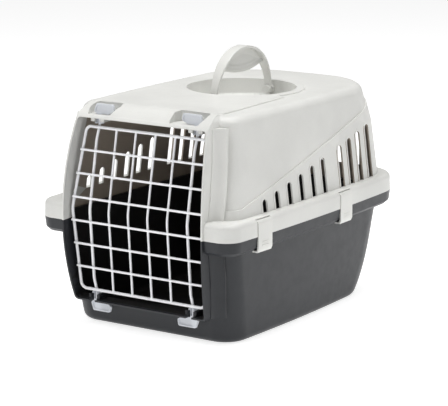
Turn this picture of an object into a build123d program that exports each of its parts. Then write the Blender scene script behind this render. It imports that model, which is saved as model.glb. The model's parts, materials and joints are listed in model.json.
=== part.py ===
from build123d import *
import math
import os

# Two-part moulded pet carrier. Millimetres, +Z up, +X to the right seen from the door side,
# the door faces -Y. Origin: centre of the footprint, on the surface that the tub stands on.

# ---------------------------------------------------------------- driving dimensions
TUB_LEVELS = (0.0, 50.0, 100.0, 152.4)   # heights of the tub's outlines
WALL = 2.5                    # thickness of the moulded walls
SEAM_Z = 152.4                # where the two shells meet
RIM_BOTTOM_Z = 133.0          # lower edge of the tub's rim
RIM_TOP_Z = 176.5             # where the hood's rim meets the hood's wall
ROOF_Z = 309.5                # shoulder of the roof
SHOULDER_R = 15.0             # rounding between roof and walls
PANEL_RISE = 2.0              # centre panel and well surround stand this far above the shoulder

REAR_Y = 234.5                # back of the rim
RIM_FRONT_Y = -232.0          # front face of the rim beside the door
RIM_HALF = 160.3              # half width of the rim at its front corners
SIDE_BOW = 7.0                # how far the long sides bulge at the middle
BACK_BOW = 5.0                # how far the back bulges at the middle

COLLAR_SILL_Y, COLLAR_MID_Y, COLLAR_TOP_Y = -216.0, -234.5, -209.0
COLLAR_MID_Z = 166.0
COLLAR_PLANE = -240.0         # depth at which the collar has its stated half widths
SILL_Z = 40.0                 # upper face of the sill
LINTEL_Z = 294.0              # lower edge of the roof over the door
COLLAR_HALF_MID, COLLAR_HALF_TOP, COLLAR_HALF_SILL = 115.6, 104.4, 107.0
CROWN_R = 15.0                # rounding of the collar's upper corners
GROOVE_R = 14.0               # hollow rounding between the collar and the front wall
COLLAR_FLARE = 5.5            # the collar widens this much over 50 towards the cabin

CATCH_X = 80.9                # door hinge line and latch line
PIN_LOW = (-203.8, 39.5)      # lower end of the hinge line (y, z)
PIN_HIGH = (-192.2, 291.0)    # upper end of the hinge line (y, z)
PINTLE_R, FRAME_R, WIRE_R = 2.0, 2.1, 1.6
DOOR_HALF_TOP, DOOR_HALF_MID, DOOR_HALF_LOW = 99.6, 110.6, 103.4   # frame side wires
DOOR_BEND = (-221.1, 167.5)   # the door is bent across its middle (y, z)
DOOR_PITCH = 32.8
LEAN_UP, LEAN_DOWN = 10.6, 4.65
UPRIGHT_PITCH = 32.35
LAP = 3.2                     # distance between the planes of lapped wires
SLEEVE_R, SLEEVE_LENGTH, SLEEVE_BORE = 4.4, 14.0, 2.6   # slotted sleeve of a catch
CAP_R, CAP_HEIGHT = 6.8, 2.4
LEAF_IN, LEAF_OUT, LEAF_HEIGHT, LEAF_THICK = 25.0, 9.0, 14.0, 3.4
POCKET_FLOOR_Z = 297.4        # floor of the pockets over the door

BORDER_PROUD, BORDER_WIDTH = 2.6, 2.6   # raised borders round the slots
BAND_WALL = 1.8
BAND_PROUD = 1.8              # the wall below the climbing line stands out this far
SLOT_WIDTH = 11.5
SLOT_Y = (-132.3, -101.8, -70.3, -39.8, -9.3, 20.2, 69.2, 97.2, 124.2, 152.7)   # along a side
SLOT_RISE = 0.207             # the row of slot heads climbs towards the back
FIRST_SLOT = 18.0             # height of the foremost slot
CLIP_WIDTH = 32.0
CLIP_Y = (-156.0, 53.0)
CLIP_OUT, CLIP_IN, CLIP_HOOK = 1.0, -1.2, -9.2   # faces of a clip from the rim's outer face
CLIP_HINGE = (-3.6, 171.6)    # hinge of a clip, from the rim's outer face (x, z)
KNUCKLE_R, CLIP_PIN_R = 2.6, 1.5
GAP = 0.4

WELL_Y, WELL_R, WELL_FLOOR_Z = 38.0, 79.0, 288.0
PIVOT_Z = 299.0
PIN_R = 3.0                   # pivot pins moulded on the handle's feet
HANDLE_SPAN, HANDLE_RISE = 73.0, 72.0
WEB_LOW, WEB_CURVE = 37.0, 161.0   # lowest point of the web above the pivots, radius of its edge


# ---------------------------------------------------------------- outlines
def footprint(z, half, front, back, bow, back_bow, r_front, r_back):
    """Closed horizontal outline: bowed sides and back, rounded corners."""
    middle = (front + back) / 2
    half_mid = half + bow
    with BuildSketch(Plane.XY.offset(z)) as sketch:
        with BuildLine():
            Line((-half, front), (half, front))
            ThreePointArc((half, front), (half_mid, middle), (half, back))
            ThreePointArc((half, back), (0, back + back_bow), (-half, back))
            ThreePointArc((-half, back), (-half_mid, middle), (-half, front))
        make_face()
        fillet(sketch.vertices().sort_by(Axis.Y)[:2], r_front)
        fillet(sketch.vertices().group_by(Axis.Y)[-1], r_back)
    return sketch.sketch


def tub_section(z, inset=0.0):
    """Tub wall outline: narrow at the floor, wide under the rim."""
    t = z / SEAM_Z
    back = 181.0 + 36.5 * t + 78.0 * t * (1 - t) ** 2
    return footprint(z, 132.0 + 13.5 * t - inset, tub_wall_y(z) + inset,
                     back - inset, 6.5, 5.0, 38.0 - 10.0 * t - inset, 78.0 - 18.0 * t - inset)


def tub_wall_y(z):
    return -187.0 - 23.5 * z / SEAM_Z


def hood_wall_y(z):
    return -213.5 + 30.0 * (z - SEAM_Z) / (ROOF_Z - SEAM_Z)


def hood_section(z, inset=0.0):
    """Hood wall outline: wide at the rim, narrow at the roof."""
    t = (z - SEAM_Z) / (ROOF_Z - SEAM_Z)
    return footprint(z, 147.5 - 20.0 * t - inset, hood_wall_y(z) + inset,
                     219.0 - inset, 6.0, 7.0, 30.0 - inset, 68.0 + 4.0 * t + 32.0 * t ** 4 - inset)


def hood_body(low, high, inset):
    """Solid hood between two heights, inset from its outer wall."""
    return loft([hood_section(z, inset) for z in (low, 255.0, high)], ruled=True)


def rim_section(z, inset=0.0):
    """Outer outline of the rim that both shells share."""
    return footprint(z, RIM_HALF - inset, RIM_FRONT_Y + inset, REAR_Y - BACK_BOW - inset,
                     SIDE_BOW, BACK_BOW, 26.0 - inset, 62.0 - inset)


def rim_half_at(y):
    """Half width of the rim at a distance y along the carrier."""
    half_length = (REAR_Y - BACK_BOW - RIM_FRONT_Y) / 2
    middle = (REAR_Y - BACK_BOW + RIM_FRONT_Y) / 2
    return RIM_HALF + SIDE_BOW * (1 - ((y - middle) / half_length) ** 2)


def collar_outline(inset, widen=0.0):
    """Door opening seen from the front: bowed sides, sill and lintel, rounded corners."""
    top_z = ROOF_Z + PANEL_RISE + 0.5 if inset == 0 else LINTEL_Z
    base_z = SILL_Z - WALL + inset
    half_sill = COLLAR_HALF_SILL - inset + widen
    half_mid = COLLAR_HALF_MID - inset + widen
    half_top = COLLAR_HALF_TOP - inset + widen if inset else COLLAR_HALF_TOP - 2.7 + widen
    with BuildLine() as line:
        Line((-half_sill, base_z), (half_sill, base_z))
        ThreePointArc((half_sill, base_z), (half_mid, COLLAR_MID_Z), (half_top, top_z))
        Line((half_top, top_z), (-half_top, top_z))
        ThreePointArc((-half_top, top_z), (-half_mid, COLLAR_MID_Z), (-half_sill, base_z))
    face = make_face(line.line)
    face = fillet(face.vertices().sort_by(Axis.Y)[-2:], 5.0 if inset else CROWN_R)
    return fillet(face.vertices().sort_by(Axis.Y)[:2], 5.0 if inset else 7.0)


def tunnel(inset, y_front, y_back):
    """Solid that fills the collar's outline between two depths, wider at the back."""
    widen = COLLAR_FLARE * (y_back - y_front) / 50.0
    plane_front = Plane(origin=(0, y_front, 0), x_dir=(1, 0, 0), z_dir=(0, -1, 0))
    plane_back = Plane(origin=(0, y_back, 0), x_dir=(1, 0, 0), z_dir=(0, -1, 0))
    return loft([plane_front * collar_outline(inset), plane_back * collar_outline(inset, widen)],
                ruled=True)


def side_profile():
    """Side view that trims the collar: bowed front edge, roof falling towards the door."""
    with BuildLine(Plane.YZ) as line:
        front = ThreePointArc((COLLAR_SILL_Y, SILL_Z - WALL), (COLLAR_MID_Y, COLLAR_MID_Z),
                              (COLLAR_TOP_Y, LINTEL_Z + 1.0))
        slope = ThreePointArc(front @ 1, (-196.0, 305.0), (-162.0, ROOF_Z + PANEL_RISE))
        Line(slope @ 1, (-120.0, ROOF_Z + PANEL_RISE))
        Line((-120.0, ROOF_Z + PANEL_RISE), (-120.0, SILL_Z - WALL))
        Line((-120.0, SILL_Z - WALL), front @ 0)
    return extrude(make_face(line.line), 150, both=True)


def collar(inset=0.0):
    return tunnel(inset, COLLAR_PLANE, -165.0) & side_profile()


def groove_fill(side, levels):
    """Hollow rounding in the corner between the collar's side and the front wall, through (z, wall y)."""
    faces = []
    for z, y in levels:
        bend = (z - COLLAR_MID_Z) / ((ROOF_Z if z > COLLAR_MID_Z else SILL_Z) - COLLAR_MID_Z)
        end = COLLAR_HALF_TOP - 2.7 if z > COLLAR_MID_Z else COLLAR_HALF_SILL
        x = COLLAR_HALF_MID + (end - COLLAR_HALF_MID) * bend ** 2 + COLLAR_FLARE * (y - COLLAR_PLANE) / 50.0
        r = GROOVE_R
        mid = r * (1 - math.sqrt(0.5))
        with BuildSketch(Plane.XY.offset(z)) as sketch:
            with BuildLine():
                Polyline((x - 0.3, y - r), (x - 2.0, y - r), (x - 2.0, y + 2.0), (x + r, y + 2.0),
                         (x + r, y + 0.3))
                ThreePointArc((x + r, y + 0.3), (x + mid, y - mid), (x - 0.3, y - r))
            make_face()
        faces.append(sketch.sketch if side > 0 else mirror(sketch.sketch, Plane.YZ))
    return loft(faces, ruled=True)


def slab(z_low, z_high):
    """Everything between two heights."""
    return Pos(0, 0, (z_low + z_high) / 2) * Box(500, 700, z_high - z_low)


# ---------------------------------------------------------------- shared fittings
def hinge_frame(x, y, z):
    """Plane on the hinge line through the pin ends, Z along the line."""
    lean = (0, PIN_HIGH[0] - PIN_LOW[0], PIN_HIGH[1] - PIN_LOW[1])
    return Plane(origin=(x, y, z), x_dir=(1, 0, 0), z_dir=lean)


def hinge_line_y(z):
    slope = (PIN_HIGH[0] - PIN_LOW[0]) / (PIN_HIGH[1] - PIN_LOW[1])
    return PIN_LOW[0] + slope * (z - PIN_LOW[1])


def side_turn(side, y):
    """Angle that turns a clip to follow the bowed rim."""
    half_length = (REAR_Y - BACK_BOW - RIM_FRONT_Y) / 2
    middle = (REAR_Y - BACK_BOW + RIM_FRONT_Y) / 2
    slope = -2 * SIDE_BOW * (y - middle) / half_length ** 2
    return -side * math.degrees(math.atan(slope))


def clip_place(side, y):
    """Frame of a clip: origin on the rim's outer face, +X outwards."""
    turn = side_turn(side, y) + (0 if side > 0 else 180)
    return Pos(side * rim_half_at(y), y, 0) * Rot(0, 0, turn)


def clip_profile(grow=0.0):
    """Side view of a clip in its own XZ plane: strap over both rims and a hook under the lower one."""
    outer, inner = CLIP_OUT + grow, CLIP_IN - grow
    head = CLIP_HINGE[1] + KNUCKLE_R + grow
    foot = RIM_BOTTOM_Z - 2.6 - grow
    hook_top = RIM_BOTTOM_Z - 0.5 + grow
    with BuildLine(Plane.XZ) as line:
        Polyline((CLIP_HINGE[0], head), (outer - 3.4, head - 0.2), (outer - 1.2, head - 1.7),
                 (outer, head - 4.4),
                 (outer, RIM_BOTTOM_Z + 2.0),
                 (outer - 2.0, foot), (CLIP_HOOK - grow, foot), (CLIP_HOOK - grow, hook_top),
                 (inner - 1.2, hook_top), (inner, RIM_BOTTOM_Z + 3.5), (inner, head - 5.0 - 2 * grow),
                 (CLIP_HINGE[0], head - 2 * (KNUCKLE_R + grow)), close=True)
    return make_face(line.line)


def clip_knuckle(radius, length):
    return Pos(CLIP_HINGE[0], 0, CLIP_HINGE[1]) * Rot(90, 0, 0) * Cylinder(radius, length)


# ---------------------------------------------------------------- tub
def make_base_shell():
    outside = loft([tub_section(z) for z in TUB_LEVELS])
    outside = fillet(outside.edges().group_by(Axis.Z)[0], 11.0)
    inside = loft([tub_section(z, WALL) for z in (WALL, *TUB_LEVELS[1:-1], SEAM_Z + 1)])
    inside = fillet(inside.edges().group_by(Axis.Z)[0], 8.5)
    rim = loft([rim_section(RIM_BOTTOM_Z, 6.5), rim_section(RIM_BOTTOM_Z + 4.5, 1.8)], ruled=True)
    rim += loft([rim_section(RIM_BOTTOM_Z + 4.5, 1.8), rim_section(SEAM_Z, 0)], ruled=True)
    channel = loft([rim_section(RIM_BOTTOM_Z - 1, 9.0), rim_section(RIM_BOTTOM_Z + 5.5, 4.3)], ruled=True)
    channel += loft([rim_section(RIM_BOTTOM_Z + 5.5, 4.3), rim_section(SEAM_Z - WALL, 2.5)], ruled=True)
    rim -= channel - outside
    shell = outside + rim + (collar() & slab(0, SEAM_Z))
    levels = [(z, tub_wall_y(z)) for z in (40.0, 95.0, SEAM_Z)]
    for side in (-1, 1):
        shell += groove_fill(side, levels)
    shell -= inside
    shell -= tunnel(WALL, COLLAR_PLANE, -150.0) & slab(SILL_Z, SEAM_Z + 1)
    for side in (-1, 1):
        shell += catch_bracket(side)
        shell -= catch_slot(side)
        for y in CLIP_Y:
            shell -= clip_place(side, y) * clip_recess()
    return shell


def catch_bracket(side):
    """U-shaped guide on the sill that holds the lower catch upright."""
    y = hinge_line_y(SILL_Z)
    guide = Pos(side * CATCH_X, y + 1.0, SILL_Z + 3.3) * Box(19.0, 17.0, 7.4)
    return fillet(guide.edges().filter_by(Axis.Z), 2.0)


def catch_slot(side):
    """Slot for the catch's sleeve, open towards the door side."""
    y = hinge_line_y(SILL_Z)
    bore = Pos(side * CATCH_X, y, SILL_Z + 2) * Cylinder(SLEEVE_R + GAP + 0.1, 16)
    mouth = Pos(side * CATCH_X, y - 10, SILL_Z + 2) * Box(2 * (SLEEVE_R + GAP + 0.1), 20, 16)
    return bore + mouth


def clip_recess():
    """Shallow bed in both rims that a closed clip lies in."""
    width = CLIP_WIDTH + 2 * GAP
    bed = extrude(clip_profile(GAP), width / 2, both=True) + clip_knuckle(KNUCKLE_R + 2 * GAP, width)
    swing = Pos(CLIP_HINGE[0] + 3.4, 0, CLIP_HINGE[1] + 4.0) * Box(9.4, width, 12.0)
    return bed + swing


def clip_ears():
    """Two blocks inside the hood's rim that the clip's pins turn in."""
    ears = []
    for end in (-1, 1):
        y = end * (CLIP_WIDTH / 2 + GAP + 2.2)
        ears.append(Pos(CLIP_HINGE[0] - 1.0, y, CLIP_HINGE[1] - 0.4) * Box(8.0, 4.4, 7.6))
    holes = clip_knuckle(CLIP_PIN_R + 0.08, CLIP_WIDTH + 7.4)
    return ears, holes


# ---------------------------------------------------------------- hood
def make_top_shell():
    outside = hood_body(SEAM_Z, ROOF_Z, 0.0)
    outside = fillet(outside.edges().group_by(Axis.Z)[-1], SHOULDER_R)
    inside = hood_body(SEAM_Z - 1, ROOF_Z - WALL, WALL)
    inside = fillet(inside.edges().group_by(Axis.Z)[-1], SHOULDER_R - WALL)
    rim = loft([rim_section(SEAM_Z, 0), rim_section(RIM_TOP_Z, 0.8)], ruled=True)
    rim = fillet(rim.edges().group_by(Axis.Z)[-1], 7.5)
    channel = loft([rim_section(SEAM_Z - 1, WALL), rim_section(RIM_TOP_Z - WALL, WALL + 0.8)], ruled=True)
    channel = fillet(channel.edges().group_by(Axis.Z)[-1], 5.0)
    rim_space = rim - outside
    rim -= channel - outside
    front = collar() & slab(SEAM_Z, 400)
    shell = outside + vent_band() + rim + front + roof_panel()
    levels = [(z, hood_wall_y(z)) for z in (SEAM_Z, 205.0, 255.0, 296.0)]
    for side in (-1, 1):
        shell += groove_fill(side, levels)
    shell -= inside + vent_band_inside()
    shell -= tunnel(WALL, COLLAR_PLANE, -150.0) & slab(SEAM_Z - 1, LINTEL_Z)
    for side in (-1, 1):
        shell += extrude(offset(pocket_outline(side, POCKET_FLOOR_Z - WALL), WALL), 40) & side_trim()
    shell += handle_well()
    shell -= well_space()
    for cutter in vents():
        shell -= cutter
    for side in (-1, 1):
        shell += lintel_guide(side)
        shell -= catch_pocket(side)
        for y in CLIP_Y:
            place = clip_place(side, y)
            ears, holes = clip_ears()
            for ear in ears:
                shell += (place * ear) & rim_space
            shell -= place * clip_recess()
            shell -= place * holes
    return shell


def roof_panel():
    """Raised centre panel that ends round the handle well."""
    z = ROOF_Z - 1.0
    with BuildSketch(Plane.XY.offset(z)) as sketch:
        with BuildLine():
            Polyline((-104, -190), (104, -190), (97, WELL_Y - 40), (-97, WELL_Y - 40), close=True)
        make_face()
        with Locations((0, WELL_Y)):
            Circle(WELL_R + 12.0)
    panel = extrude(sketch.sketch, PANEL_RISE + 1.0)
    panel = fillet(panel.edges().group_by(Axis.Z)[-1], 1.6)
    return panel & side_trim()


def side_trim():
    """Limits the panel to what lies under the falling front of the roof."""
    with BuildLine(Plane.YZ) as line:
        slope = ThreePointArc((COLLAR_TOP_Y, LINTEL_Z + 1.0), (-196.0, 305.0), (-162.0, ROOF_Z + PANEL_RISE))
        Polyline(slope @ 1, (200.0, ROOF_Z + PANEL_RISE), (200.0, 200.0), (COLLAR_TOP_Y, 200.0), slope @ 0)
    return extrude(make_face(line.line), 200, both=True)


def handle_well():
    """Cup under the roof that the folded handle lies in."""
    height = ROOF_Z - WELL_FLOOR_Z + WALL
    cup = Pos(0, WELL_Y, WELL_FLOOR_Z - WALL + height / 2) * Cylinder(WELL_R + WALL, height)
    cup = fillet(cup.edges().group_by(Axis.Z)[0], 5.0)
    return cup


def well_space():
    height = 60.0
    space = Pos(0, WELL_Y, WELL_FLOOR_Z + height / 2) * Cylinder(WELL_R, height)
    space = fillet(space.edges().group_by(Axis.Z)[0], 3.0)
    for end in (-1, 1):
        boss = Pos(0, WELL_Y + end * (WELL_R - 1.6), PIVOT_Z) * Rot(90, 0, 0) * Cylinder(6.0, 8.0)
        space -= boss
    for end in (-1, 1):
        hole = Pos(0, WELL_Y + end * (WELL_R - 1.6), PIVOT_Z) * Rot(90, 0, 0) * Cylinder(PIN_R + 0.08, 8.4)
        space += hole
    return space


def vent_band():
    """Lower part of the hood's wall, which stands proud below a line that climbs to the back."""
    proud = hood_body(SEAM_Z, ROOF_Z, -BAND_PROUD)
    borders = hood_body(SEAM_Z, ROOF_Z, -BORDER_PROUD)
    band = proud & band_side_view()
    for prism in vents(BORDER_WIDTH):
        band += borders & prism
    return band


def vent_band_inside():
    """Room behind the proud band, so that its wall stays thin."""
    inset = BAND_WALL - BAND_PROUD
    room = hood_body(SEAM_Z - 1, ROOF_Z, inset)
    return room & (Pos(0, 0, -1.5) * band_side_view())


def band_side_view():
    """Everything under the line that climbs to the back."""
    with BuildLine(Plane.YZ) as line:
        FilletPolyline((-260.0, 189.0), (-186.0, 189.0), (150.0, 273.0), (185.0, 284.0), (260.0, 286.0),
                       radius=(40.0, 60.0, 60.0))
        Polyline((260.0, 286.0), (260.0, SEAM_Z), (-260.0, SEAM_Z), (-260.0, 189.0))
    return extrude(make_face(line.line), 200, both=True)


def vents(border=0.0):
    """Ventilation slots through both sides and the back, taller towards the back."""
    cutters = []
    for y in SLOT_Y:
        height = FIRST_SLOT + SLOT_RISE * (y - SLOT_Y[0])
        cutters.append(Pos(0, y, RIM_TOP_Z) * slot_cutter(height, 400, Rot(0, 0, 0), border))
    for x in (-84.0, -56.0, -28.0, 0.0, 28.0, 56.0, 84.0):
        cutters.append(Pos(x, 215, RIM_TOP_Z) * slot_cutter(86.0, 80, Rot(0, 0, 90), border))
    return cutters


def slot_cutter(height, depth, turn, border):
    """Upright slot with a square foot and a round head, cut along local X."""
    half = SLOT_WIDTH / 2 + border
    height += border
    with BuildLine(Plane.YZ) as line:
        Polyline((-half, height - half), (-half, 0), (half, 0), (half, height - half))
        ThreePointArc((half, height - half), (0, height), (-half, height - half))
    return turn * extrude(make_face(line.line), depth / 2, both=True)


def lintel_guide(side):
    """U-shaped guide under the roof edge that holds the upper catch upright."""
    z_low = LINTEL_Z - 6.8
    y = hinge_line_y(LINTEL_Z)
    guide = Pos(side * CATCH_X, y + 1.5, (z_low + 300) / 2) * Box(22.0, 15.0, 300 - z_low)
    return guide


def catch_pocket(side):
    """Recess in the falling front of the roof in which a catch's leaf stands and turns."""
    x = side * CATCH_X
    y = hinge_line_y(POCKET_FLOOR_Z)
    bore = Pos(x, y, 290) * Cylinder(SLEEVE_R + GAP + 0.1, 40)
    mouth = Pos(x, y - 15, 280) * Box(2 * (SLEEVE_R + GAP + 0.1), 30, 27.9)
    return bore + mouth + extrude(pocket_outline(side, POCKET_FLOOR_Z), 40)


def pocket_outline(side, z):
    """Outline of a catch's recess: room for the leaf at rest and turned forwards."""
    x = side * CATCH_X
    y = hinge_line_y(POCKET_FLOOR_Z)
    out, inner = (15.0, 31.0) if side < 0 else (12.0, 42.0)
    with BuildSketch(Plane.XY.offset(z)) as sketch:
        with BuildLine():
            Polyline((x + side * (out - 5), y - 15), (x + side * out, y - 1), (x + side * (out - 1), y + 17),
                     (x - side * (inner - 4), y + 19), (x - side * inner, y + 7),
                     (x - side * (inner - 5), y - 15), close=True)
        make_face()
        fillet(sketch.vertices(), 5.0)
    return sketch.sketch


# ---------------------------------------------------------------- catches


def door_catch(toward):
    """Catch with its sleeve's mouth at z = 0 and its leaf above; toward is the leaf's long way."""
    sleeve = Pos(0, 0, SLEEVE_LENGTH / 2) * Cylinder(SLEEVE_R, SLEEVE_LENGTH)
    cap = Pos(0, 0, CAP_HEIGHT / 2) * Cylinder(CAP_R, CAP_HEIGHT)
    cap = chamfer(cap.edges().group_by(Axis.Z)[0], 1.0)
    with BuildLine(Plane.XZ) as line:
        Polyline((-LEAF_OUT, 3.0), (-LEAF_OUT + 3.0, 0), (LEAF_IN - 9.0, 0), (LEAF_IN, 5.0),
                 (LEAF_IN - 2.0, LEAF_HEIGHT), (-LEAF_OUT + 4.0, LEAF_HEIGHT), close=True)
    outline = fillet(make_face(line.line).vertices(), 2.8)
    leaf = extrude(outline, LEAF_THICK / 2, both=True)
    sunk = offset(outline, -2.0)
    dish = extrude(sunk, 1.2)
    leaf -= Pos(0, -LEAF_THICK / 2 + 0.6, 0) * Pos(0, 0.5, 0) * dish
    leaf -= Pos(0, LEAF_THICK / 2 + 0.1, 0) * dish
    body = sleeve + cap + Pos(0, 0, SLEEVE_LENGTH - 0.4) * (leaf if toward > 0 else mirror(leaf, Plane.YZ))
    bore = Pos(0, 0, 5.0) * Cylinder(SLEEVE_BORE, 12.0)
    mouth = Pos(0, -6.0, 5.0) * Box(2 * SLEEVE_BORE, 12.0, 12.0)
    return body - bore - mouth


def make_top_catch(side):
    z = 284.2
    place = hinge_frame(side * CATCH_X, hinge_line_y(z), z)
    return place.location * door_catch(-side)


def make_bottom_catch(side):
    z = 50.2
    place = hinge_frame(side * CATCH_X, hinge_line_y(z), z)
    upside_down = mirror(door_catch(-side), Plane.XY)
    return place.location * upside_down


# ---------------------------------------------------------------- clips
def make_side_clip(side, y):
    strap = extrude(clip_profile(), CLIP_WIDTH / 2, both=True) + clip_knuckle(KNUCKLE_R, CLIP_WIDTH)
    strap += clip_knuckle(CLIP_PIN_R, CLIP_WIDTH + 6.0)
    for z in (139.5, 144.0):
        strap += Pos(CLIP_OUT, 0, z) * Rot(90, 0, 0) * Cylinder(0.6, 15.0)
    return clip_place(side, y) * strap


# ---------------------------------------------------------------- handle
def make_handle():
    """Arch in the YZ plane with a crescent web under its crown, and a pin on each foot."""
    arch = arch_outline(0.0) - arch_outline(9.0)
    band = extrude(Plane.YZ * arch, 8.5, both=True)
    taper = handle_taper()
    band &= taper
    web = extrude(Plane.YZ * web_outline(), 2.4, both=True)
    part = band + web
    for end in (-1, 1):
        foot = Pos(0, end * (HANDLE_SPAN - 4.5), 0) * Rot(90, 0, 0) * Cylinder(6.0, 9.0)
        pin = Pos(0, end * (HANDLE_SPAN + 1.5), 0) * Rot(90, 0, 0) * Cylinder(PIN_R, 7.0)
        part += foot + pin
    return Pos(0, WELL_Y, PIVOT_Z) * part


def arch_outline(inset):
    span, rise = HANDLE_SPAN - inset, HANDLE_RISE - inset
    with BuildSketch() as sketch:
        Ellipse(span, rise)
        Rectangle(400, 200, align=(Align.CENTER, Align.MAX), mode=Mode.SUBTRACT)
    return sketch.sketch


def handle_taper():
    """Front view of the arch: broad grip, narrower legs."""
    with BuildLine(Plane.XZ) as line:
        Polyline((-5.5, -10), (5.5, -10), (5.8, 20), (9.0, 52), (9.0, 80), (-9.0, 80), (-9.0, 52),
                 (-5.8, 20),
                 close=True)
    return extrude(make_face(line.line), 120, both=True)


def web_outline():
    """Crescent under the crown: the arch's inside above a shallow downward curve."""
    with BuildSketch() as sketch:
        Ellipse(HANDLE_SPAN - 4, HANDLE_RISE - 4)
        with Locations((0, WEB_LOW + WEB_CURVE)):
            Circle(WEB_CURVE, mode=Mode.INTERSECT)
    return sketch.sketch


# ---------------------------------------------------------------- door
def door_point(rows, behind):
    """Point (y, z) of the bent door, rows pitches from its bend, behind its front plane."""
    lean = math.radians(LEAN_UP if rows > 0 else -LEAN_DOWN)
    run = rows * DOOR_PITCH
    y = DOOR_BEND[0] + run * math.sin(lean) + behind * math.cos(lean)
    z = DOOR_BEND[1] + run * math.cos(lean) - behind * math.sin(lean)
    return y, z


def bend_point(behind):
    lean = math.radians((LEAN_UP - LEAN_DOWN) / 2)
    return DOOR_BEND[0] + behind * math.cos(lean), DOOR_BEND[1] - behind * math.sin(lean)


def wire(points, radius, corner_radii, closed=False):
    path = FilletPolyline(*points, radius=corner_radii, close=closed)
    start = Plane(origin=path @ 0, z_dir=path % 0)
    return sweep(start * Circle(radius), path=path)


def make_cross_wire(rows):
    y, z = door_point(rows, 0)
    end = DOOR_HALF_TOP if rows > 0 else DOOR_HALF_LOW
    half = DOOR_HALF_MID + (end - DOOR_HALF_MID) * abs(rows) / 3.5 + FRAME_R - 1.0
    return Pos(0, y, z) * Rot(0, 90, 0) * Cylinder(WIRE_R, 2 * half)


def make_upright(index):
    x = UPRIGHT_PITCH * index
    top, bottom = door_point(3.5, LAP - 0.4), door_point(-3.5, LAP - 0.4)
    middle = bend_point(LAP - 0.4)
    return wire([(x, *bottom), (x, *middle), (x, *top)], WIRE_R, 35.0)


def make_door_frame():
    top, bottom = door_point(3.5, LAP), door_point(-3.5, LAP)
    middle = bend_point(LAP)
    low, mid, high = DOOR_HALF_LOW, DOOR_HALF_MID, DOOR_HALF_TOP
    points = [(low, *bottom), (mid, *middle), (high, *top), (-high, *top), (-mid, *middle), (-low, *bottom)]
    return wire(points, FRAME_R, [9.0, 35.0, 8.0, 8.0, 35.0, 9.0], closed=True)


def make_pintle(side):
    x = side * CATCH_X
    points = [(x, *PIN_LOW), (x, hinge_line_y(50.0), 50.0), (x, *door_point(-3.0, LAP + 0.2)),
              (x, *bend_point(LAP + 0.2)), (x, *door_point(3.0, LAP + 0.2)),
              (x, hinge_line_y(282.0), 282.0), (x, *PIN_HIGH)]
    return wire(points, PINTLE_R, [9.0, 30.0, 35.0, 30.0, 9.0])


# ---------------------------------------------------------------- all parts
def build_parts():
    parts = {"base_shell": make_base_shell(), "top_shell": make_top_shell(),
             "carrying_handle": make_handle(), "door_frame": make_door_frame()}
    for side, word in ((-1, "left"), (1, "right")):
        parts[f"door_pintle_{word}"] = make_pintle(side)
        parts[f"catch_top_{word}"] = make_top_catch(side)
        parts[f"catch_bottom_{word}"] = make_bottom_catch(side)
        for y, place in zip(CLIP_Y, ("front", "rear")):
            parts[f"side_clip_{place}_{word}"] = make_side_clip(side, y)
    for number, index in enumerate((-1.5, -0.5, 0.5, 1.5), 1):
        parts[f"door_upright_{number}"] = make_upright(index)
    for number, rows in enumerate((-2.5, -1.5, -0.5, 0.5, 1.5, 2.5), 1):
        parts[f"door_cross_wire_{number}"] = make_cross_wire(rows)
    return parts


os.makedirs("parts", exist_ok=True)
for name, solid in build_parts().items():
    export_step(solid, f"parts/{name}.step")
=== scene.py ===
import json
import math

import bmesh
import bpy
import numpy as np
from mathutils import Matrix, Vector


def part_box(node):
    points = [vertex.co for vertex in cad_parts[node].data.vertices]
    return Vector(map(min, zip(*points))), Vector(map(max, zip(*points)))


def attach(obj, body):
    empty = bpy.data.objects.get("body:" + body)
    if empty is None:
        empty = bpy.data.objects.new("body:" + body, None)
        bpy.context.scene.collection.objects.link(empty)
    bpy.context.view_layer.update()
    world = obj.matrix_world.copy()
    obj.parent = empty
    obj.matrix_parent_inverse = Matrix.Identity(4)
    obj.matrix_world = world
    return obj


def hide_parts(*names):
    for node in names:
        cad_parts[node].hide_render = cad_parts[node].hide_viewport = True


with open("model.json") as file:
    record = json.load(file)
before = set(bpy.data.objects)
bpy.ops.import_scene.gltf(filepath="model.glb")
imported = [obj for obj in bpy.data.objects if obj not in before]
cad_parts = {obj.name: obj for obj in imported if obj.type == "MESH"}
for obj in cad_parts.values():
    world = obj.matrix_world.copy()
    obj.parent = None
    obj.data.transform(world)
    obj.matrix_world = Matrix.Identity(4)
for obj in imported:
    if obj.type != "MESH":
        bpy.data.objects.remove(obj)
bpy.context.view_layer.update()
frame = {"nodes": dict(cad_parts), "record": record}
nodes = frame["nodes"]
record = frame["record"]
BODY_OF = {node: body for body, members in record["behaviour"]["bodies"].items() for node in members}
SLOT_OF = {part["node"]: part["material_slot"] for part in record["subparts"]}


# ---------------------------------------------------------------- materials
CLOUD_SIZE, SPECK_SIZE = 90.0, 1.6        # colour variation, in mm
SHEEN_SIZE = 14.0                         # roughness variation, in mm
GRAIN_SIZE, GRAIN_DEPTH = 0.9, 0.0002     # moulded texture: size in mm, depth in m
WAVE_SIZE, WAVE_DEPTH = 38.0, 0.0006      # slight unevenness of a moulded wall
BUMP_STRENGTH = 0.25


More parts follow.
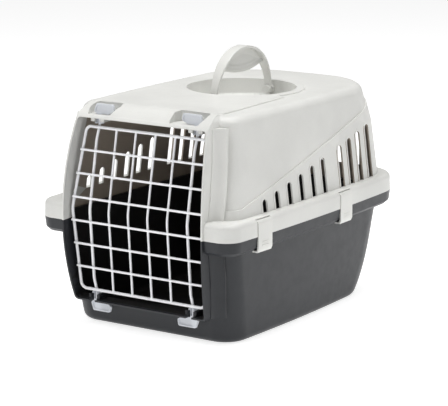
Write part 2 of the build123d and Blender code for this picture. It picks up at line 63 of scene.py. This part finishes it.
def moulded_plastic(name, colour, roughness, grain=1.0, tint=0.04, painted_highlight=0.05, index=1.49):
    """Moulded plastic: fine satin grain, faint cloudy colour, convex edges lightened as a painted highlight.
    """
    mat = bpy.data.materials.new(name)
    mat.use_nodes = True
    new = mat.node_tree.nodes.new
    link = mat.node_tree.links.new
    bsdf = mat.node_tree.nodes["Principled BSDF"]
    coords = new("ShaderNodeTexCoord")

    def noise(size, detail, rough=0.5):
        node = new("ShaderNodeTexNoise")
        node.inputs["Scale"].default_value = 1000.0 / size
        node.inputs["Detail"].default_value = detail
        node.inputs["Roughness"].default_value = rough
        link(coords.outputs["Object"], node.inputs["Vector"])
        return node.outputs["Fac"]

    def ramp(value, low, high, out_low, out_high):
        node = new("ShaderNodeMapRange")
        node.inputs["From Min"].default_value = low
        node.inputs["From Max"].default_value = high
        node.inputs["To Min"].default_value = out_low
        node.inputs["To Max"].default_value = out_high
        link(value, node.inputs["Value"])
        return node.outputs["Result"]

    def combine(operation, one, two):
        node = new("ShaderNodeMath")
        node.operation = operation
        link(one, node.inputs[0])
        link(two, node.inputs[1])
        return node.outputs[0]

    def bump(height, strength, distance):
        node = new("ShaderNodeBump")
        node.inputs["Strength"].default_value = strength
        node.inputs["Distance"].default_value = distance
        link(height, node.inputs["Height"])
        return node

    cloud = ramp(noise(CLOUD_SIZE, 4.0), 0.35, 0.65, 1.0 - tint, 1.0 + tint)
    speck = ramp(noise(SPECK_SIZE, 3.0, 0.7), 0.3, 0.7, 1.0 - 0.5 * tint, 1.0 + 0.5 * tint)
    # Convex edges, found by pointiness, are lightened in colour: a painted edge highlight.
    edge = new("ShaderNodeNewGeometry")
    edge_highlight = ramp(edge.outputs["Pointiness"], 0.52, 0.62, 0.0, painted_highlight)
    shade = combine("ADD", combine("MULTIPLY", cloud, speck), edge_highlight)
    tinted = new("ShaderNodeVectorMath")
    tinted.operation = "SCALE"
    tinted.inputs[0].default_value = colour
    link(shade, tinted.inputs["Scale"])
    link(tinted.outputs["Vector"], bsdf.inputs["Base Color"])
    sheen = ramp(noise(SHEEN_SIZE, 5.0, 0.6), 0.3, 0.7, roughness - 0.05, roughness + 0.06)
    link(sheen, bsdf.inputs["Roughness"])
    fine = bump(noise(GRAIN_SIZE, 3.0, 0.6), BUMP_STRENGTH * grain, GRAIN_DEPTH)
    broad = bump(noise(WAVE_SIZE, 2.0), BUMP_STRENGTH, WAVE_DEPTH)
    link(fine.outputs["Normal"], broad.inputs["Normal"])
    link(broad.outputs["Normal"], bsdf.inputs["Normal"])
    bsdf.inputs["IOR"].default_value = index
    return mat


MATERIALS = {
    "hood_plastic": moulded_plastic("hood_plastic", (0.715, 0.715, 0.688), 0.42),
    "tub_plastic": moulded_plastic("tub_plastic", (0.0215, 0.0235, 0.0275), 0.40, painted_highlight=0.02, index=1.42),
    "coated_wire": moulded_plastic("coated_wire", (0.93, 0.935, 0.96), 0.26, grain=0.5, tint=0.01),
    "catch_plastic": moulded_plastic("catch_plastic", (0.74, 0.765, 0.81), 0.35, tint=0.02),
    "fitting_plastic": moulded_plastic("fitting_plastic", (0.72, 0.72, 0.69), 0.36, tint=0.03),
}
# The cabin side of each shell, a darker copy of its material that paints the shade inside the cabin, and the
# depth at which it begins behind the door.
INSIDE_SHADE = {
    "top_shell": (moulded_plastic("hood_inside_shade", (0.41, 0.355, 0.30), 0.6, painted_highlight=0.0), -0.163),
    "base_shell": (moulded_plastic("tub_inside_shade", (0.012, 0.012, 0.013), 0.6, painted_highlight=0.0), -0.206),
}


# ---------------------------------------------------------------- CAD nodes
CABIN_HEART = (0.0, 0.0, 0.15)
CABIN_HALF, CABIN_REAR = 0.1592, 0.236        # between the outer and inner faces of the rims
CABIN_LOW, CABIN_HIGH = 0.002, 0.3075
WELL_Y, WELL_R, WELL_LOW = 0.038, 0.0802, 0.2865   # round the handle's well, down to its floor
FACES_IN = 0.35                               # least cosine between a face and the cabin's heart
EDGE_WIDTH = {"top": 0.0007, "base": 0.0007, "carrying": 0.0016, "catch": 0.0006,
              "side": 0.0007, "door": 0.0004}
EDGE_ANGLE = math.radians(33)


def faces_inside(mesh, front):
    """Indices of the faces that look into the cabin."""
    count = len(mesh.polygons)
    centre = np.empty(count * 3)
    normal = np.empty(count * 3)
    mesh.polygons.foreach_get("center", centre)
    mesh.polygons.foreach_get("normal", normal)
    centre = centre.reshape(-1, 3)
    normal = normal.reshape(-1, 3)
    inward = np.array(CABIN_HEART) - centre
    inward /= np.linalg.norm(inward, axis=1)[:, None]
    toward = (inward * normal).sum(1) > FACES_IN
    x, y, z = centre.T
    in_well = (np.hypot(x, y - WELL_Y) < WELL_R) & (z > WELL_LOW)
    in_cabin = (np.abs(x) < CABIN_HALF) & (y > front) & (y < CABIN_REAR) & (z > CABIN_LOW) & (z < CABIN_HIGH)
    return np.nonzero(toward & in_cabin & ~in_well)[0]


def finish_node(name, node):
    """Material, rounded edges and even shading for one CAD node."""
    mesh = node.data
    mesh.materials.clear()
    mesh.materials.append(MATERIALS[SLOT_OF[name]])
    for polygon in mesh.polygons:
        polygon.use_smooth = True
    # Faces looking into the cabin take the darker copy of the material: painted shade.
    if name in INSIDE_SHADE:
        material, front = INSIDE_SHADE[name]
        mesh.materials.append(material)
        for i in faces_inside(mesh, front):
            mesh.polygons[int(i)].material_index = 1
    weld = node.modifiers.new("weld", "WELD")
    weld.merge_threshold = 0.00001
    bevel = node.modifiers.new("bevel", "BEVEL")
    bevel.width = EDGE_WIDTH[name.split("_")[0]]
    bevel.segments = 3
    bevel.limit_method = "ANGLE"
    bevel.angle_limit = EDGE_ANGLE
    bevel.use_clamp_overlap = True
    even = node.modifiers.new("even", "WEIGHTED_NORMAL")
    even.mode = "FACE_AREA_WITH_ANGLE"
    even.weight = 50


for node_name, cad_node in nodes.items():
    finish_node(node_name, cad_node)


# ---------------------------------------------------------------- carrying handle
ARCH_STEPS, WEB_STEPS, ROUND_STEPS = 72, 32, 40
CORNER_POINTS = 5            # points on each rounded corner of the band's section
PIN_OUT = 0.0050             # pin end beyond the band's outer face
HUB_R, HUB_LENGTH = 0.0060, 0.0090
PIN_R = 0.0029
BAND_THICK, BAND_CORNER = 0.0040, 0.0011
handle_low, handle_high = (Vector(corner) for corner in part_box("carrying_handle"))
SPAN = (handle_high.y - handle_low.y) / 2 - PIN_OUT
PIVOT = Vector((0, (handle_low.y + handle_high.y) / 2, handle_low.z + HUB_R))
RISE = handle_high.z - PIVOT.z
FOOT_HALF, CROWN_HALF = 0.0056, handle_high.x - 0.0001
WIDEN_FROM, WIDEN_OVER = 0.014, 0.046         # height at which the band starts to widen
WEB_LOW, WEB_CURVE = 0.037, 0.161             # lowest point of the web, radius of its lower edge
LIP_HALF, LIP_DROP = 0.0034, 0.0030           # round lip along the web's lower edge


def add_mesh(name, bm, slot_name, body):
    mesh = bpy.data.meshes.new(name)
    bmesh.ops.recalc_face_normals(bm, faces=bm.faces)
    for face in bm.faces:
        face.smooth = True
    bm.to_mesh(mesh)
    bm.free()
    piece = bpy.data.objects.new(name, mesh)
    bpy.context.scene.collection.objects.link(piece)
    mesh.materials.append(MATERIALS[slot_name])
    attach(piece, body)
    return piece


def skin(bm, rings):
    """Closed tube over rings of points, with both ends capped."""
    rows = [[bm.verts.new(point) for point in ring] for ring in rings]
    count = len(rows[0])
    for one, two in zip(rows, rows[1:]):
        for i in range(count):
            bm.faces.new((one[i], one[(i + 1) % count], two[(i + 1) % count], two[i]))
    bm.faces.new(rows[0])
    bm.faces.new(rows[-1])


def smooth_step(value):
    value = min(max(value, 0.0), 1.0)
    return value * value * (3 - 2 * value)


def rounded_section(half_a, half_b, radius):
    """Outline of a rounded rectangle, as (a, b) pairs."""
    points = []
    for quarter, (sign_a, sign_b) in enumerate(((1, 1), (-1, 1), (-1, -1), (1, -1))):
        for k in range(CORNER_POINTS):
            turn = math.pi / 2 * (quarter + k / (CORNER_POINTS - 1))
            points.append((sign_a * (half_a - radius) + radius * math.cos(turn),
                           sign_b * (half_b - radius) + radius * math.sin(turn)))
    return points


def band_ring(turn):
    """Section of the arch at an angle from its front foot over the crown."""
    outer = Vector((0, -SPAN * math.cos(turn), RISE * math.sin(turn)))
    normal = Vector((0, -math.cos(turn) / SPAN, math.sin(turn) / RISE)).normalized()
    half = FOOT_HALF + (CROWN_HALF - FOOT_HALF) * smooth_step((outer.z - WIDEN_FROM) / WIDEN_OVER)
    middle = PIVOT + outer - normal * BAND_THICK / 2
    return [middle + Vector((a, 0, 0)) + normal * b
            for a, b in rounded_section(half, BAND_THICK / 2, BAND_CORNER)]


def web_low(y):
    return WEB_LOW + WEB_CURVE - math.sqrt(WEB_CURVE ** 2 - y * y)


def web_high(y):
    span, rise = SPAN - BAND_THICK / 2, RISE - BAND_THICK / 2
    return rise * math.sqrt(max(1 - (y / span) ** 2, 0))


def web_end():
    """Distance from the middle at which the web's lower edge meets the arch."""
    near, far = 0.0, SPAN - BAND_THICK
    for _ in range(40):
        middle = (near + far) / 2
        if web_high(middle) > web_low(middle):
            near = middle
        else:
            far = middle
    return near


def web_ring(y):
    """Closed section of the web at one place: thin panel, raised border, round lip."""
    low, high = web_low(y), web_high(y)
    right = []
    for k in range(25):
        z = low + (high - low) * k / 24
        edge = min(z - low, (high - z) * 0.8)
        fall = 0.0012 * smooth_step((z - low) / 0.004)
        recess = 0.0008 * smooth_step((edge - 0.006) / 0.003)
        right.append((LIP_HALF - fall - recess, z))
    turns = [k * math.pi / 12 for k in range(-5, 6)]
    lip = [(LIP_HALF * math.sin(turn), low - LIP_DROP * math.cos(turn)) for turn in turns]
    outline = [(-half, z) for half, z in reversed(right)] + lip + right
    return [PIVOT + Vector((half, y, z)) for half, z in outline]


def hub_rings(side):
    """Hub and pin on one foot, turned about the pivot line, with small chamfers."""
    inner, pin_end = SPAN - HUB_LENGTH, SPAN + PIN_OUT
    profile = ((inner, 0.0), (inner, HUB_R - 0.0010), (inner + 0.0003, HUB_R - 0.0003),
               (inner + 0.0010, HUB_R), (SPAN - 0.0010, HUB_R), (SPAN - 0.0003, HUB_R - 0.0003),
               (SPAN, HUB_R - 0.0010), (SPAN, PIN_R), (pin_end - 0.0005, PIN_R),
               (pin_end, PIN_R - 0.0005), (pin_end, 0.0))
    rings = []
    for along, radius in profile:
        radius = max(radius, 0.00005)
        turns = [math.tau * i / ROUND_STEPS for i in range(ROUND_STEPS)]
        rings.append([PIVOT + Vector((radius * math.cos(turn), side * along, radius * math.sin(turn)))
                      for turn in turns])
    return rings


def add_handle():
    bm = bmesh.new()
    skin(bm, [band_ring(math.pi * i / ARCH_STEPS) for i in range(ARCH_STEPS + 1)])
    end = web_end() - 0.0002
    places = [end * math.sin(math.pi / 2 * i / WEB_STEPS) for i in range(-WEB_STEPS, WEB_STEPS + 1)]
    skin(bm, [web_ring(y) for y in places])
    for side in (-1, 1):
        skin(bm, hub_rings(side))
    piece = add_mesh("handle_bail", bm, SLOT_OF["carrying_handle"], BODY_OF["carrying_handle"])
    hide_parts("carrying_handle")


add_handle()


# ---------------------------------------------------------------- door
WELD_HALF = (0.0023, 0.0014, 0.0023)          # half sizes of a weld nugget
WELD_SINK = 0.0003                            # its centre inside the cross wire's back


def add_welds():
    """A small flattened weld nugget where each upright lies against a cross wire."""
    bm = bmesh.new()
    for i in range(1, 7):
        low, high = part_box(f"door_cross_wire_{i}")
        for j in range(1, 5):
            left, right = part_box(f"door_upright_{j}")
            where = ((left[0] + right[0]) / 2, high[1] - WELD_SINK, (low[2] + high[2]) / 2)
            made = bmesh.ops.create_icosphere(bm, subdivisions=3, radius=1.0)
            for vert in made["verts"]:
                vert.co = [c * half + at for c, half, at in zip(vert.co, WELD_HALF, where)]
    add_mesh("door_welds", bm, "coated_wire", "door")


add_welds()


# ---------------------------------------------------------------- stage
def add_floor():
    mesh = bpy.data.meshes.new("studio_floor")
    bm = bmesh.new()
    bmesh.ops.create_grid(bm, x_segments=2, y_segments=2, size=6.0)
    bm.to_mesh(mesh)
    bm.free()
    floor = bpy.data.objects.new("studio_floor", mesh)
    bpy.context.scene.collection.objects.link(floor)
    mat = bpy.data.materials.new("studio_floor")
    mat.use_nodes = True
    bsdf = mat.node_tree.nodes["Principled BSDF"]
    bsdf.inputs["Base Color"].default_value = (0.62, 0.62, 0.62, 1)
    bsdf.inputs["Emission Color"].default_value = (1, 1, 1, 1)
    bsdf.inputs["Emission Strength"].default_value = 0.76
    bsdf.inputs["Roughness"].default_value = 0.9
    bsdf.inputs["Specular IOR Level"].default_value = 0.1
    mesh.materials.append(mat)


def area_light(name, place, size, power):
    """Rectangular lamp that looks at the middle of the carrier."""
    data = bpy.data.lights.new(name, "AREA")
    data.shape = "RECTANGLE"
    data.size, data.size_y = size
    data.energy = power
    lamp = bpy.data.objects.new(name, data)
    lamp.location = place
    lamp.rotation_euler = (Vector((0, 0, 0.2)) - Vector(place)).to_track_quat("-Z", "Y").to_euler()
    bpy.context.scene.collection.objects.link(lamp)


add_floor()
world = bpy.data.worlds.new("studio")
bpy.context.scene.world = world
world.use_nodes = True
world.node_tree.nodes["Background"].inputs["Color"].default_value = (1, 1, 1, 1)
world.node_tree.nodes["Background"].inputs["Strength"].default_value = 0.17
area_light("key", (-0.5, -1.7, 2.3), (1.0, 1.0), 25)
area_light("top", (0.2, 0.3, 2.5), (2.0, 2.0), 52)
area_light("right", (2.3, 0.9, 1.0), (0.8, 1.4), 7)


# ---------------------------------------------------------------- camera
AZIMUTH, ELEVATION = math.radians(33.62), math.radians(12.355)
camera = bpy.data.cameras.new("camera")
camera.sensor_width = 36.0
camera.lens = 165.8
camera.clip_end = 60.0
eye = bpy.data.objects.new("camera", camera)
forward = Vector((-math.sin(AZIMUTH) * math.cos(ELEVATION), math.cos(AZIMUTH) * math.cos(ELEVATION),
                  -math.sin(ELEVATION)))
eye.location = (1.59873, -2.41215, 0.78131)
eye.rotation_euler = forward.to_track_quat("-Z", "Y").to_euler()
bpy.context.scene.collection.objects.link(eye)
bpy.context.scene.camera = eye
bpy.context.scene.view_settings.view_transform = "Standard"
